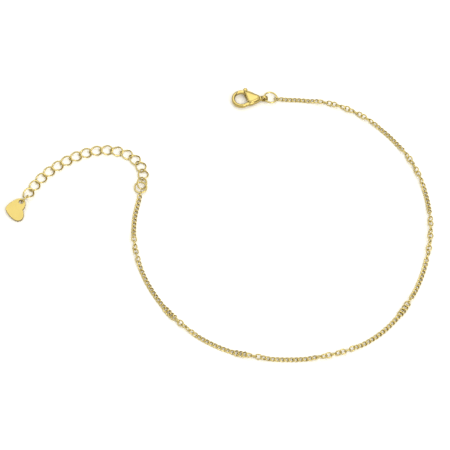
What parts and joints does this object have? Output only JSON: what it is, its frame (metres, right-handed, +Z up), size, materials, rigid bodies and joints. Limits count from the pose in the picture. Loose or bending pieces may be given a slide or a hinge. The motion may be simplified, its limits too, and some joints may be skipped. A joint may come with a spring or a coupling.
{
  "type": "chain anklet",
  "caption": "Gold-toned chain anklet laid open: fine curb chain with stations of larger links, lobster clasp, link extender and a plain heart tag.",
  "frame": {"origin": "middle of the anklet's outline on the surface that it lies on", "axes": "+X along the longer way of the open anklet, from the heart tag towards the far bend; +Y towards the clasp; +Z up from the surface"},
  "size_m": [0.1224, 0.0908, 0.0029],
  "materials": {
    "polished_gold": "polished gold plating",
    "satin_gold": "satin gold plating"
  },
  "bodies": {
    "anklet": {"curb_run_1": "polished_gold", "curb_run_2": "polished_gold", "curb_run_3": "polished_gold", "curb_run_4": "polished_gold", "curb_run_5": "polished_gold", "curb_run_6": "polished_gold", "curb_run_7": "polished_gold", "curb_run_8": "polished_gold", "curb_run_9": "polished_gold", "station_1": "polished_gold", "station_2": "polished_gold", "station_3": "polished_gold", "station_4": "polished_gold", "station_5": "polished_gold", "station_6": "polished_gold", "station_7": "polished_gold", "station_8": "polished_gold", "clasp_end_link": "polished_gold", "extender_end_link": "polished_gold", "extender_link_1": "polished_gold", "extender_link_2": "polished_gold", "extender_link_3": "polished_gold", "extender_link_4": "polished_gold", "extender_link_5": "polished_gold", "extender_link_6": "polished_gold", "extender_link_7": "polished_gold", "extender_link_8": "polished_gold", "extender_link_9": "polished_gold", "extender_link_10": "polished_gold", "extender_link_11": "polished_gold", "extender_link_12": "polished_gold", "extender_link_13": "polished_gold", "extender_link_14": "polished_gold", "extender_link_15": "polished_gold", "extender_link_16": "polished_gold", "clasp_jump_ring": "polished_gold", "extender_jump_ring": "polished_gold", "tag_ring": "polished_gold", "heart_tag": "satin_gold", "clasp_body": "polished_gold"},
    "lever": {"clasp_lever": "polished_gold"}
  },
  "joints": [
    {"name": "lever_hinge", "type": "hinge", "parent": "anklet", "child": "lever", "pos_m": [0.01048, 0.04209, 0.0012], "axis": [0, 0, 1], "range_deg": [0, 22], "stiffness_Nm_per_rad": 0.0015, "springref_deg": -8.59}
  ]
}
